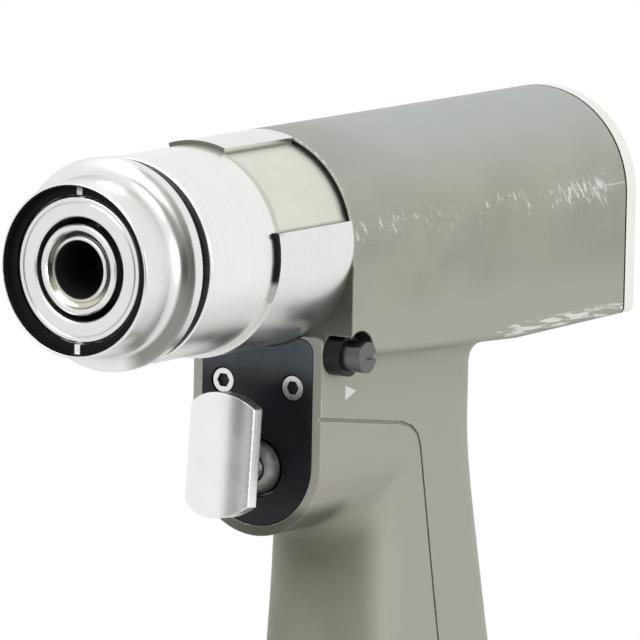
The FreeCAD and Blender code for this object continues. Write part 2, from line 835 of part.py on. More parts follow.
def main_housing():
    body = housing_blank()
    body = body.cut(ring(barrel_front - 1, barrel_front + gasket_depth, 0, gasket_radius))
    body = body.cut(ring(barrel_front, barrel_front + spigot_length, 0, spigot_radius))
    body = body.cut(ring(barrel_front, barrel_rear + 1, 0, motor_bore))
    half, top = plate_half + joint_gap, plate_top - joint_gap
    pocket = tongue_face(boss_front, half, top, boss_round_z, plate_corner)
    body = body.cut(pocket.extrude(V(plate_thickness, 0, 0)))
    body = body.cut(rod(bush_radius, V(boss_front, 0, stem_z), V(cavity_upper[0], 0, stem_z)))
    tip = boss_front + screw_seat + screw_length
    for y in plate_screw_places:
        body = body.cut(rod(screw_shank, V(boss_front, y, screw_z), V(tip, y, screw_z)))
    across = (-cavity_half, cavity_half)
    body = body.cut(block((cavity_upper[0], cavity_rear), across, (cavity_lower[1], cavity_upper[1])))
    body = body.cut(block((cavity_lower[0], cavity_rear), across, (dock_z - 1, cavity_lower[1])))
    wire_way = block(wire_slot, (-wire_slot_half, wire_slot_half), (cavity_upper[1] - 1, -motor_bore + 3))
    body = body.cut(wire_way)
    body = body.cut(rod(selector_shaft + running, V(selector_x, -2 * barrel_radius, selector_z),
                        V(selector_x, 2 * barrel_radius, selector_z)))
    for side in (-1, 1):
        body = body.cut(rod(scallop_radius, V(selector_x, side * boss_half, selector_z),
                            V(selector_x, side * (barrel_radius + 2), selector_z)))
    for x, y, z in cap_screw_places():
        body = body.cut(rod(cap_screw_radius, V(x - cap_screw_length - cap_length, y, z), V(x, y, z)))
    return body.cut(seam_cutter())


def cap_screw_places():
    orbit = barrel_radius - cap_screw_rim
    upper = [polar(cap_rear, orbit, 90 + side * cap_screw_spread) for side in (-1, 1)]
    inner, low = barrel_radius - cap_screw_inset, -belly_rear + cap_screw_inset
    return upper + [V(cap_rear, side * inner, low) for side in (-1, 1)]


def barrel_slice(x_start, x_end):
    """Part of the barrel's outside shape between two planes."""
    whole = round_belly(barrel_solid(barrel_front, cap_rear))
    reach = 2 * barrel_radius
    return whole.common(block((x_start, x_end), (-reach, reach), (-reach, reach)))


def rear_cap():
    cap = barrel_slice(barrel_rear + rear_gasket_width, cap_rear)
    rim = [edge for edge in cap.Edges if all(abs(v.Point.x - cap_rear) < 0.01 for v in edge.Vertexes)]
    cap = cap.makeFillet(cap_edge, rim)
    spigot = motor_bore - joint_gap
    cap = cap.fuse(ring(barrel_rear - cap_spigot, barrel_rear + 2, spigot - cap_spigot_wall, spigot))
    cap = cap.cut(Part.makeCylinder(port_radius, cap_length + 1, V(barrel_rear, 0, 0), X_AXIS))
    sink = cap_screw_head_height + cap_screw_sink
    for x, y, z in cap_screw_places():
        cap = cap.cut(rod(cap_screw_radius + joint_gap, V(barrel_rear, y, z), V(x, y, z)))
        cap = cap.cut(rod(cap_screw_head + joint_gap, V(x - sink, y, z), V(x, y, z)))
    return cap


def rear_gasket():
    slab = barrel_slice(barrel_rear, barrel_rear + rear_gasket_width)
    slab = slab.cut(ring(barrel_rear, barrel_rear + rear_gasket_width, 0, motor_bore))
    for x, y, z in cap_screw_places():
        slab = slab.cut(rod(cap_screw_radius + joint_gap, V(barrel_rear, y, z), V(x, y, z)))
    return slab


def rear_cap_screws():
    screw = socket_screw(cap_screw_head, cap_screw_head_height, cap_screw_radius, cap_screw_length)
    screw.rotate(ORIGIN, Z_AXIS, 180)
    return [placed(screw, x - cap_screw_sink, y, z) for x, y, z in cap_screw_places()]


def wire_port():
    rear = cap_rear + port_stand
    front = rear - port_length
    return turned([
        (front, tube_radius), (front, port_radius), (rear - edge_break, port_radius),
        (rear, port_radius - edge_break), (rear, wire_bore + port_rim), (rear - tube_sink, tube_radius),
    ])


# Trigger and selector

def trigger_plate():
    plate = tongue_face(boss_front, plate_half, plate_top, boss_round_z, plate_corner)
    plate = plate.extrude(V(plate_thickness, 0, 0)).cut(land_room(boss_front + plate_thickness))
    back = boss_front + plate_thickness
    plate = plate.cut(rod(bush_radius + free, V(boss_front, 0, stem_z), V(back, 0, stem_z)))
    for y in plate_screw_places:
        plate = plate.cut(rod(screw_shank + joint_gap, V(boss_front, y, screw_z), V(back, y, screw_z)))
        plate = plate.cut(rod(screw_head + screw_seat_gap, V(boss_front, y, screw_z),
                              V(boss_front + screw_seat, y, screw_z)))
    return plate


def trigger_plate_screws():
    screw = socket_screw(screw_head, screw_head_height, screw_shank, screw_length)
    top = boss_front + screw_seat - screw_head_height
    return [placed(screw, top, y, screw_z) for y in plate_screw_places]


def trigger_bush():
    tube = ring(boss_front + plate_thickness, cavity_upper[0], stem_radius + running, bush_radius)
    return placed(tube, 0, 0, stem_z)


def trigger_blade():
    front = blade_rear - blade_thickness
    half_height = blade_height / 2.0
    face = [
        Part.Arc(V(front, -blade_half, 0), V(front - blade_bow, 0, 0), V(front, blade_half, 0)).toShape(),
        Part.LineSegment(V(front, blade_half, 0), V(blade_rear, blade_half, 0)).toShape(),
        Part.Arc(V(blade_rear, blade_half, 0), V(blade_rear - blade_hollow, 0, 0),
                 V(blade_rear, -blade_half, 0)).toShape(),
        Part.LineSegment(V(blade_rear, -blade_half, 0), V(front, -blade_half, 0)).toShape(),
    ]
    slab = Part.Face(Part.Wire(face)).extrude(V(0, 0, blade_height))
    slab.translate(V(0, 0, blade_z - half_height))
    drop = half_height - blade_crown
    ends = (front - 2 * blade_bow, blade_rear + 1)
    for side in (-1, 1):
        centre = blade_z + side * drop
        crown = rod(blade_crown, V(ends[0], 0, centre), V(ends[1], 0, centre))
        rest = block(ends, (-blade_crown, blade_crown), sorted((centre - side * blade_height, centre)))
        slab = slab.common(crown.fuse(rest))
    slab.rotate(V(blade_rear, 0, blade_z + half_height), Y_AXIS, blade_tilt)
    return slab.cut(stem_bar())


def stem_bar():
    """Plain bar of the trigger's stem, let into the back of the blade."""
    return rod(stem_radius, V(blade_rear - stem_sink, 0, stem_z), V(stem_end, 0, stem_z))


def trigger_stem():
    pocket = rod(spring_outer + sliding, V(stem_end - spring_pocket, 0, stem_z), V(stem_end, 0, stem_z))
    return stem_bar().cut(pocket)


def trigger_spring():
    radius = spring_outer - spring_wire
    return coil(stem_end - spring_pocket, switch_front, radius, spring_wire, spring_turns, stem_z)


def switch_module():
    rear = switch_front + switch_length
    body = block((switch_front, rear), (-cavity_half, cavity_half),
                 (stem_z - switch_half_height, stem_z + switch_half_height))
    plunger = rod(plunger_radius, V(switch_front - plunger_length, 0, stem_z), V(switch_front, 0, stem_z))
    body = body.fuse(plunger)
    width, height = switch_pin_half
    for y in switch_pins:
        body = body.fuse(block((rear, rear + switch_pin_length), (y - width, y + width),
                               (stem_z - height, stem_z + height)))
    return body


def selector_rod():
    return rod(selector_shaft, V(selector_x, -boss_half - selector_base_length, selector_z),
               V(selector_x, boss_half + selector_base_length, selector_z))


def selector_seal(side):
    base = side * (boss_half + selector_play)
    end = side * (boss_half + selector_base_length)
    body = rod(selector_base, V(selector_x, base, selector_z), V(selector_x, end, selector_z))
    return body.cut(selector_rod())


def selector_knob_end(side):
    base = side * (boss_half + selector_base_length)
    end = base + side * selector_knob_length
    body = rod(selector_knob, V(selector_x, base, selector_z), V(selector_x, end, selector_z))
    slot_y = sorted((end - side * pointer_depth, end))
    return body.cut(block((selector_x - pointer_half, selector_x + selector_knob), slot_y,
                          (selector_z - pointer_half, selector_z + pointer_half)))


# Battery pack

def contact_places():
    middle = (tongue_front + tongue_rear) / 2.0
    return [middle + contact_pitch * (index - (contact_count - 1) / 2.0) for index in range(contact_count)]


def dock_seal_ring():
    outer = Part.Face(dock_outline(lid_top, dock_seal_inset))
    seal = outer.extrude(V(0, 0, dock_seal))
    opening = block((cavity_lower[0], cavity_rear), (-cavity_half, cavity_half), (lid_top - 1, dock_z + 1))
    return seal.cut(opening)


def dock_contacts():
    base = tongue_top + free
    body = block((cavity_lower[0], cavity_rear), (-cavity_half, cavity_half), (base, base + contact_base))
    for x in contact_places():
        body = body.fuse(block((x - contact_blade / 2, x + contact_blade / 2), (-contact_half, contact_half),
                               (tongue_top - contact_length, base)))
    return body


def battery_lid():
    lid = Part.Face(dock_outline(pack_top))
    lid = lid.extrude(V(0, 0, lid_thickness))
    tongue = block((tongue_front, tongue_rear), (-tongue_half, tongue_half), (lid_top, tongue_top))
    body = lid.fuse(tongue)
    for x in contact_places():
        body = body.cut(terminal_block(x, terminal_depth))
    for x, y in lid_screw_places():
        body = body.cut(rod(lid_screw_head + joint_gap, V(x, y, pack_top), V(x, y, lid_top)))
    return body


def terminal_block(x, height):
    """Block that stands on the floor of one slot in the tongue."""
    width, length = terminal_slot
    floor = tongue_top - terminal_depth
    return block((x - width, x + width), (-length, length), (floor, floor + height))


def lid_screw_places():
    along = (dock_front + lid_screw_inset, dock_rear - lid_screw_inset)
    across = dock_half - lid_screw_inset
    return [(x, y) for x in along for y in (-across, across)]


def battery_lid_screws():
    screw = socket_screw(lid_screw_head, lid_screw_head_height, lid_screw_shank, lid_screw_length)
    screw.rotate(ORIGIN, Y_AXIS, 90)
    return [placed(screw, x, y, lid_top - lid_screw_sink) for x, y in lid_screw_places()]


def battery_terminals():
    return [terminal_block(x, terminal_thickness) for x in contact_places()]


def battery_case():
    case = Part.Face(dock_outline(pack_floor))
    case = case.extrude(V(0, 0, pack_height))
    base = [edge for edge in case.Edges if all(abs(v.Point.z - pack_floor) < 0.01 for v in edge.Vertexes)]
    case = case.makeFillet(pack_edge, base)
    room = cell_length / 2.0 + cell_end_room
    side = dock_half - pack_wall
    x_range = (pack_middle - room, pack_middle + room)
    case = case.cut(block(x_range, (-side, side), (pack_floor + pack_wall, pack_top)))
    tip = lid_top - lid_screw_sink - lid_screw_head_height - lid_screw_length
    for x, y in lid_screw_places():
        case = case.cut(rod(lid_screw_shank, V(x, y, tip), V(x, y, pack_top)))
    return case


def cell_places():
    low = pack_floor + pack_wall + cell_radius + cell_gap / 2
    pitch = 2 * cell_radius + cell_gap
    return [(side * pitch / 2, low + row * pitch) for row in (0, 1) for side in (-1, 1)]


def battery_cells():
    front, rear = pack_middle - cell_length / 2, pack_middle + cell_length / 2
    return [rod(cell_radius, V(front, y, z), V(rear, y, z)) for y, z in cell_places()]


def cell_straps():
    straps = []
    for side in (-1, 1):
        end = pack_middle + side * cell_length / 2
        x_range = sorted((end, end + side * strap_thickness))
        for row in (0, 1):
            z = cell_places()[2 * row][1]
            z_range = (z - strap_half_height, z + strap_half_height)
            straps.append(block(x_range, (-strap_half, strap_half), z_range))
    return straps


def save(name, shape):
    """Write one sub-part; a list becomes a group of separate solids."""
    if isinstance(shape, list):
        shape = Part.makeCompound(shape)
    shape.exportStep("parts/" + name + ".step")
    print(name, "solids", len(shape.Solids), "valid", shape.isValid(), "volume", round(shape.Volume, 1))


def main():
    os.makedirs("parts", exist_ok=True)
    save("release_collar", release_collar())
    save("index_ring", index_ring())
    save("collar_spring", collar_spring())
    save("socket_ring", socket_ring())
    save("lock_balls", lock_balls())
    save("neck_seal", neck_seal())
    save("spindle_seal", spindle_seal())
    save("nose_sleeve", nose_sleeve())
    save("slot_seals", slot_seals())
    save("land_ring", land_ring())
    save("nose_gasket", nose_gasket())
    save("spindle", spindle())
    save("front_bearing", bearing(front_bearing_x))
    save("rear_bearing", bearing(rear_bearing_x))
    save("bearing_spacer", bearing_spacer())
    save("planet_carrier", carrier_plate(carrier_x, carrier_width, carrier_seat))
    save("carrier_plate", carrier_plate(plate_x, cover_width, shaft_radius + free))
    save("planet_pins", planet_pins())
    for index, letter in enumerate("abc"):
        save("planet_gear_" + letter, planet_gear(index))
    save("ring_gear", ring_gear())
    save("rotor_shaft", rotor_shaft())
    save("rotor_magnet", rotor_magnet())
    save("stator_core", stator_core())
    save("stator_windings", stator_windings())
    save("motor_can", motor_can())
    save("motor_end_cap", motor_end_cap())
    save("motor_bearings", motor_bearings())
    save("cannula_tube", cannula_tube())
    save("controller_board", controller_board())
    save("main_housing", main_housing())
    save("rear_gasket", rear_gasket())
    save("rear_cap", rear_cap())
    save("rear_cap_screws", rear_cap_screws())
    save("wire_port", wire_port())
    save("trigger_plate", trigger_plate())
    save("trigger_plate_screws", trigger_plate_screws())
    save("trigger_bush", trigger_bush())
    save("trigger_blade", trigger_blade())
    save("trigger_stem", trigger_stem())
    save("trigger_spring", trigger_spring())
    save("switch_module", switch_module())
    save("selector_shaft", selector_rod())
    save("selector_collars", [selector_seal(-1), selector_seal(1)])
    save("selector_knob_left", selector_knob_end(-1))
    save("selector_knob_right", selector_knob_end(1))
    save("dock_seal", dock_seal_ring())
    save("dock_contacts", dock_contacts())
    save("battery_lid", battery_lid())
    save("battery_lid_screws", battery_lid_screws())
    save("battery_terminals", battery_terminals())
    save("battery_case", battery_case())
    save("battery_cells", battery_cells())
    save("cell_straps", cell_straps())


main()
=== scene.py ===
"""Surgical drill: camera, light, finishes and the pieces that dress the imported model.

Lengths are in metres, and in millimetres inside the finishes.
"""
import json
import math

import bmesh
import bpy
from mathutils import Matrix, Vector


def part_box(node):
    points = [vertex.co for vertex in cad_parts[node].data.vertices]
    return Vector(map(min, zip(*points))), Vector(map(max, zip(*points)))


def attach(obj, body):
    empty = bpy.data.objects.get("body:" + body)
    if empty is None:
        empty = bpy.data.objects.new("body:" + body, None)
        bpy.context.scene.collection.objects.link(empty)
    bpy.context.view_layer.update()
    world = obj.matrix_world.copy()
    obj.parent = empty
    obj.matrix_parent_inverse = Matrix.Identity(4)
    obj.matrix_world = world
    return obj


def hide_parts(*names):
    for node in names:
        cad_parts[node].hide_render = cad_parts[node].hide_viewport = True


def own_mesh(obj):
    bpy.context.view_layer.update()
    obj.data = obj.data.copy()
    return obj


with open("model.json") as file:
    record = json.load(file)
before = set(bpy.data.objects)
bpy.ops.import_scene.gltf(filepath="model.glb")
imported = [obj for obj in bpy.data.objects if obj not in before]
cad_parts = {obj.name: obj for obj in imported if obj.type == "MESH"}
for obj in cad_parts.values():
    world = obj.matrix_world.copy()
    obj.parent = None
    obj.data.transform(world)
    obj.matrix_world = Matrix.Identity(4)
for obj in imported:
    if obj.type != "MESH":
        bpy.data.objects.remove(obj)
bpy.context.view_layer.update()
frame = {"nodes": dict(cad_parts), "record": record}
nodes = frame["nodes"]
MM = 0.001


# Shader expressions

class Value:
    """A shader socket that takes part in Python expressions."""

    def __init__(self, finish, socket):
        self.finish = finish
        self.socket = socket

    def math(self, operation, *others):
        return self.finish.node("ShaderNodeMath", {"operation": operation}, [self, *others])

    def __add__(self, other):
        return self.math("ADD", other)

    def __sub__(self, other):
        return self.math("SUBTRACT", other)

    def __rsub__(self, other):
        return self.finish.node("ShaderNodeMath", {"operation": "SUBTRACT"}, [other, self])

    def __mul__(self, other):
        return self.math("MULTIPLY", other)

    def __truediv__(self, other):
        return self.math("DIVIDE", other)

    def __abs__(self):
        return self.math("ABSOLUTE")

    __radd__ = __add__
    __rmul__ = __mul__

    def root(self):
        return self.math("SQRT")

    def larger(self, other):
        return self.math("MAXIMUM", other)

    def smaller(self, other):
        return self.math("MINIMUM", other)

    def step(self, low, high):
        """0 below low, 1 above high, with a soft change between; low may be the larger."""
        return self.finish.node("ShaderNodeMapRange", {"interpolation_type": "SMOOTHSTEP"},
                                {"Value": self, "From Min": low, "From Max": high})

    def band(self, middle, half, soft):
        """1 within half of the middle, fading out over soft."""
        return abs(self - middle).step(half + soft, half)


class Finish:
    """One material, its shader and the expressions that feed it."""

    def __init__(self, name, color=(0.5, 0.5, 0.5), rough=0.5, metal=0.0, sheen=0.5):
        self.material = bpy.data.materials.new(name)
        self.material.use_nodes = True
        self.tree = self.material.node_tree
        self.shader = self.tree.nodes["Principled BSDF"]
        self.shader.inputs["Specular IOR Level"].default_value = sheen
        self.paint(color)
        self.rough(rough)
        self.metal(metal)

    def node(self, kind, settings, inputs, output=0):
        """New node of any type: its settings first, then the values or links of its sockets."""
        made = self.tree.nodes.new(kind)
        for key, value in settings.items():
            setattr(made, key, value)
        pairs = inputs.items() if isinstance(inputs, dict) else enumerate(inputs)
        for key, value in pairs:
            self.feed(made.inputs[key], value)
        return Value(self, made.outputs[output])

    def feed(self, socket, value):
        if isinstance(value, Value):
            self.tree.links.new(value.socket, socket)
        elif isinstance(value, tuple) and socket.type == "RGBA":
            socket.default_value = (*value, 1.0)
        else:
            socket.default_value = value

    def paint(self, color):
        self.feed(self.shader.inputs["Base Color"], color)

    def rough(self, value):
        self.feed(self.shader.inputs["Roughness"], value)

    def metal(self, value):
        self.feed(self.shader.inputs["Metallic"], value)

    def rounded(self, radius):
        """Normal of a surface whose sharp edges are eased by a radius in millimetres."""
        return self.node("ShaderNodeBevel", {"samples": 4}, {"Radius": radius * MM})

    def relief(self, height, depth, ease=0.2):
        """Bump whose height of 1 stands for a depth in millimetres, over eased edges."""
        bump = self.node("ShaderNodeBump", {},
                         {"Height": height, "Strength": 1.0, "Distance": depth * MM,
                          "Normal": self.rounded(ease)})
        self.feed(self.shader.inputs["Normal"], bump)

    def edges(self, radius, low, high):
        """1 along the outer and inner edges of the piece, 0 away from them."""
        flat = self.node("ShaderNodeNewGeometry", {}, {}, "Normal")
        lean = self.node("ShaderNodeVectorMath", {"operation": "DOT_PRODUCT"},
                         {0: self.rounded(radius), 1: flat}, "Value")
        return (1.0 - lean).step(low, high)

    def openness(self, reach):
        """1 where the surface is open, less in corners within a reach in millimetres."""
        return self.node("ShaderNodeAmbientOcclusion", {"samples": 4, "only_local": True},
                         {"Distance": reach * MM}, "AO")

    def mix(self, factor, first, second):
        """Colour between two colours."""
        return self.node("ShaderNodeMix", {"data_type": "RGBA"},
                         {0: factor, 6: first, 7: second}, 2)

    def place(self):
        """The surface point's x, y and z, in millimetres."""
        spot = self.node("ShaderNodeTexCoord", {}, {}, "Object")
        spot = self.node("ShaderNodeVectorMath", {"operation": "SCALE"}, {0: spot, 3: 1.0 / MM})
        made = self.tree.nodes.new("ShaderNodeSeparateXYZ")
        self.feed(made.inputs[0], spot)
        return [Value(self, socket) for socket in made.outputs]

    def vector(self, x, y, z):
        return self.node("ShaderNodeCombineXYZ", {}, [x, y, z])

    def grain(self, spot, cell, detail=3.0, rough=0.55):
        """Noise from 0 to 1; the cell's size is in millimetres along each axis."""
        cells = cell if isinstance(cell, tuple) else (cell, cell, cell)
        where = self.vector(*[part / size for part, size in zip(spot, cells)])
        return self.node("ShaderNodeTexNoise", {},
                         {"Vector": where, "Scale": 1.0, "Detail": detail, "Roughness": rough,
                          "Distortion": 0.0})

    def rings(self, x, out, line):
        """Noise from 0 to 1 in rings about the spindle axis, with a line's width in millimetres."""
        return self.grain([x, out, 0.0], (line, line, 1.0), detail=2.0)


# Colours that finishes share, and those of the housing's coat

WORN = (0.70, 0.70, 0.68)
MARK_WHITE = (0.88, 0.88, 0.86)
# Painted shade in the spindle's bore and groove and in the screws' sockets
HOLE_SHADE_BLACK = (0.006, 0.006, 0.006)

COAT_DARK = (0.352, 0.345, 0.292)
COAT_LIGHT = (0.400, 0.394, 0.338)
COAT_STAIN = (0.300, 0.302, 0.268)
# Painted light that makes the coat lighter below the barrel, and painted shade that darkens the
# front of its crown
COAT_LIT_BELOW = (0.440, 0.430, 0.375)
CROWN_FRONT_SHADE = (0.300, 0.305, 0.285)
CROWN_REAR = (0.365, 0.385, 0.368)
# Painted shade in corners, at the grip's front corner and under the boss
CREASE_SHADE = (0.115, 0.115, 0.095)
GRIP_CORNER_SHADE = (0.125, 0.130, 0.080)
CHIN_SHADE = (0.070, 0.075, 0.048)
FRONT_SHADE_ABOVE = (0.042, 0.045, 0.032)
FRONT_SHADE_BELOW = (0.150, 0.158, 0.130)
KNOB_SHADE = (0.012, 0.012, 0.010)

# Places on the housing, in millimetres; the streaks' shift sets where they lie on it

FRONT_FACE_X = 65.3
SHOULDER_X, SHOULDER_Z, SHOULDER_FALL = 65.0, 4.6, 0.017
STREAK_SHIFT = 7.3
HEM_Z = -24.0
SELECTOR_X, SELECTOR_Z, SELECTOR_ROOM = 68.4, -23.0, 5.2
ARROW_FRONT, ARROW_REAR, ARROW_Z, ARROW_HALF = 72.9, 77.0, -31.6, 1.5
GRIP_CORNER_X = 85.5
CHIN_X, CHIN_Z = 67.5, -59.5

# Places on the nose, along the spindle axis (X) or out from it, in millimetres

BORE_OUT, RIM_OUT, GROOVE_OUT = 5.85, 6.3, 7.1
FLARE_X, FLARE_OUT = 8.7, 17.8
LAND_FRONT_X, WINDOW_OUT, LAND_OUT = 40.5, 20.9, 21.6
SLOT_FOOT_Z = -4.2


# Finishes

def radius_of(spot):
    """Distance from the spindle axis."""
    return (spot[1] * spot[1] + spot[2] * spot[2]).root()


def arrow_mark(x, y, z):
    """Plain triangle beside the selector, on both sides of the boss."""
    slope = ARROW_HALF / (ARROW_REAR - ARROW_FRONT)
    body = abs(z - ARROW_Z) - (ARROW_REAR - x) * slope
    front = x.step(ARROW_FRONT - 0.06, ARROW_FRONT + 0.06)
    return body.step(0.06, -0.06) * front * abs(y).step(15.4, 15.6)


def coat_color(coat, spot, cloud):
    """Taupe-grey in soft clouds and stains, greener on its crown; painted light makes it lighter
    below the barrel, and painted shade darker at the crown's front.
    """
    x, y, z = spot
    stain = coat.grain([x, y, z * 0.6], (26.0, 30.0, 9.0), detail=4.0)
    color = coat.mix(cloud.step(0.3, 0.7), COAT_DARK, COAT_LIGHT)
    color = coat.mix(stain.step(0.45, 0.75) * 0.5, color, COAT_STAIN)
    # Painted light: lighter below the barrel; painted shade: darker at the crown's front
    color = coat.mix(z.step(-8.0, -20.0) * 0.8, color, COAT_LIT_BELOW)
    crown = coat.mix(x.step(66.0, 100.0), CROWN_FRONT_SHADE, CROWN_REAR)
    return coat.mix(z.step(6.0, 21.0), color, crown)


def coat_wear(coat, spot):
    """1 where the coat is gone: along the shoulder and hem, at edges and in specks."""
    x, y, z = spot
    side = abs(y).step(21.0, 21.8) * x.step(60.0, 66.0)
    line = z - (SHOULDER_Z - (x - SHOULDER_X) * SHOULDER_FALL)
    streak = coat.grain([x, y, z + STREAK_SHIFT], (11.0, 1.0, 0.14), detail=3.0)
    slant = coat.grain([x + z * 1.4, y, z - x * 0.25], (5.0, 1.0, 0.12), detail=2.0)
    pits = coat.grain(spot, 0.7, detail=5.0, rough=0.75)
    blotch = coat.grain(spot, 9.0, detail=2.0)
    chips = coat.grain([x + z * 0.4, y, z], (1.1, 3.0, 2.6), detail=4.0, rough=0.65)
    rubs = coat.grain([x, y, z + x * 0.04], (9.0, 3.0, 0.9), detail=3.0)

    shoulder = line.band(0.0, 0.04, 0.45) * side * streak.step(0.44, 0.56) * x.step(140.0, 168.0)
    sparse = line.band(-0.2, 1.8, 3.6) * blotch.step(0.38, 0.54) * chips.step(0.57, 0.64)
    dense = line.band(0.8, 2.0, 2.4) * x.band(154.0, 6.0, 8.0) * chips.step(0.50, 0.60)
    scratch = z.band(4.0, 4.0, 6.0) * side * streak.step(0.66, 0.70)
    scuffs = z.band(5.0, 6.0, 6.0) * x.step(96.0, 125.0) * side * slant.step(0.68, 0.72)
    hem = z.band(HEM_Z, 0.7, 1.0) * abs(y).step(19.8, 21.2)
    hem = hem * rubs.step(0.50, 0.58) * x.step(108.0, 132.0)
    edge = coat.edges(0.45, 0.015, 0.09) * pits.step(0.40, 0.60)
    specks = pits.step(0.735, 0.76) * blotch.step(0.5, 0.7)

    worn = (shoulder * 0.9).larger(side * sparse.larger(dense)).larger(scratch * 0.56)
    return worn.larger(scuffs * 0.7).larger(hem).larger(edge * 0.75).larger(specks * 0.6)


def coat_painted_shade(coat, spot, cloud, color):
    """Painted shade in corners, at the grip's front corner, under the boss, on the front face and
    round the selector.
    """
    x, y, z = spot
    # Painted shade where the surface is closed in, at the grip's front corner and under the boss
    color = coat.mix(coat.openness(3.0).step(0.85, 0.35) * 0.7, color, CREASE_SHADE)
    corner = x.band(GRIP_CORNER_X, 1.5, 5.5) * z.step(-57.0, -66.0)
    color = coat.mix(corner * (0.50 + 0.35 * cloud), color, GRIP_CORNER_SHADE)
    chin_shade = z.band(CHIN_Z, 2.2, 4.0) * x.band(CHIN_X, 8.0, 7.5)
    color = coat.mix(chin_shade * 0.85, color, CHIN_SHADE)
    front = x.band(FRONT_FACE_X, 0.10, 0.10) * z.step(-2.0, -5.0) * z.step(-23.7, -23.3)
    shade = coat.mix(z.step(-11.0, -24.0), FRONT_SHADE_ABOVE, FRONT_SHADE_BELOW)
    color = coat.mix(front, color, shade)
    along, up = x - SELECTOR_X, z - SELECTOR_Z
    knob = (along * along + up * up).root().band(SELECTOR_ROOM, 0.12, 0.12)
    return coat.mix(knob * abs(y).step(15.8, 16.0), color, KNOB_SHADE)


def hard_coat():
    """Matte taupe-grey coat of the housing, worn to metal along its shoulders and lower edges, with
    painted shade in its corners and under the boss.
    """
    coat = Finish("housing_coat")
    x, y, z = spot = coat.place()
    cloud = coat.grain(spot, 16.0, detail=5.0)
    fine = coat.grain(spot, 0.3, detail=2.0)
    color = coat_painted_shade(coat, spot, cloud, coat_color(coat, spot, cloud))
    worn = coat_wear(coat, spot)
    mark = arrow_mark(x, y, z)
    bare = worn * (1.0 - mark)
    coat.paint(coat.mix(mark, coat.mix(worn, color, WORN), MARK_WHITE))
    coat.metal(bare * 0.9)
    coat.rough(0.50 + 0.12 * (cloud - 0.5) + 0.08 * (fine - 0.5) - bare * 0.20)
    coat.relief(fine * 0.6 - bare * 0.7, 0.03, ease=0.35)
    return coat.material


def turned_metal(name, color, rough, line, lines=0.02):
    """Metal finished on a lathe: rings about the spindle axis, a line apart and lines deep."""
    metal = Finish(name, metal=1.0)
    spot = metal.place()
    rings = metal.rings(spot[0], radius_of(spot), line)
    smear = metal.grain(spot, 5.0, detail=3.0)
    dull = tuple(part * 0.88 for part in color)
    metal.paint(metal.mix(rings.step(0.35, 0.65) * 0.5 + smear * 0.5, dull, color))
    metal.rough(rough + 0.12 * (rings - 0.5) + 0.12 * (smear - 0.5))
    metal.relief(rings, lines)
    return metal.material


def brushed_metal(name, color, rough, stretch=(0.1, 0.1, 3.0)):
    """Metal brushed along one axis, with faint smears."""
    metal = Finish(name, metal=1.0)
    spot = metal.place()
    brush = metal.grain(spot, stretch, detail=3.0)
    smear = metal.grain(spot, 4.0, detail=3.0)
    dull = tuple(part * 0.86 for part in color)
    metal.paint(metal.mix(brush * 0.5 + smear * 0.5, dull, color))
    metal.rough(rough + 0.12 * (brush - 0.5) + 0.1 * (smear - 0.5))
    metal.relief(brush, 0.012)
    return metal.material


def moulded(name, color, rough, cell=0.5, depth=0.02, sheen=0.5):
    """Rubber or plastic with a fine moulded grain."""
    skin = Finish(name, sheen=sheen)
    spot = skin.place()
    fine = skin.grain(spot, cell, detail=3.0)
    broad = skin.grain(spot, 12.0, detail=3.0)
    dark = tuple(part * 0.75 for part in color)
    skin.paint(skin.mix(broad * 0.6 + fine * 0.4, dark, color))
    skin.rough(rough + 0.12 * (fine - 0.5) + 0.08 * (broad - 0.5))
    skin.relief(fine, depth)
    return skin.material


def index_black():
    """Black ring inside the collar, with white marks at the top and bottom of its flat face."""
    skin = Finish("index_black", sheen=0.08)
    x, y, _ = spot = skin.place()
    mark = abs(y).step(0.70, 0.58) * x.step(-0.6, -0.3)
    haze = skin.grain(spot, 3.0, detail=3.0)
    black = skin.mix(haze, (0.004, 0.004, 0.0045), (0.012, 0.012, 0.013))
    skin.paint(skin.mix(mark, black, MARK_WHITE))
    skin.rough(0.5 + 0.12 * haze)
    skin.relief(haze, 0.01, ease=0.1)
    return skin.material


def plate_black():
    """Blue-black anodised plate behind the trigger, with a painted reflection that makes it paler
    at its top under the barrel and painted shade low down.
    """
    skin = Finish("plate_black", sheen=0.3)
    x, y, z = spot = skin.place()
    haze = skin.grain(spot, 6.0, detail=4.0)
    fine = skin.grain(spot, 0.3, detail=2.0)
    # Painted shade low down and a painted reflection at the top
    low = skin.mix(haze.step(0.3, 0.7), (0.004, 0.005, 0.007), (0.010, 0.012, 0.017))
    high = skin.mix(haze.step(0.3, 0.7), (0.070, 0.086, 0.104), (0.100, 0.120, 0.140))
    scratch = skin.grain([y, x, z * 0.1], (0.25, 1.0, 1.0), detail=2.0).step(0.66, 0.72)
    color = skin.mix(z.step(-31.0, -24.0), low, high)
    skin.paint(skin.mix(scratch * 0.2, color, (0.12, 0.13, 0.14)))
    skin.rough(0.34 + 0.12 * (haze - 0.5) + 0.06 * (fine - 0.5))
    skin.relief(fine, 0.01)
    return skin.material


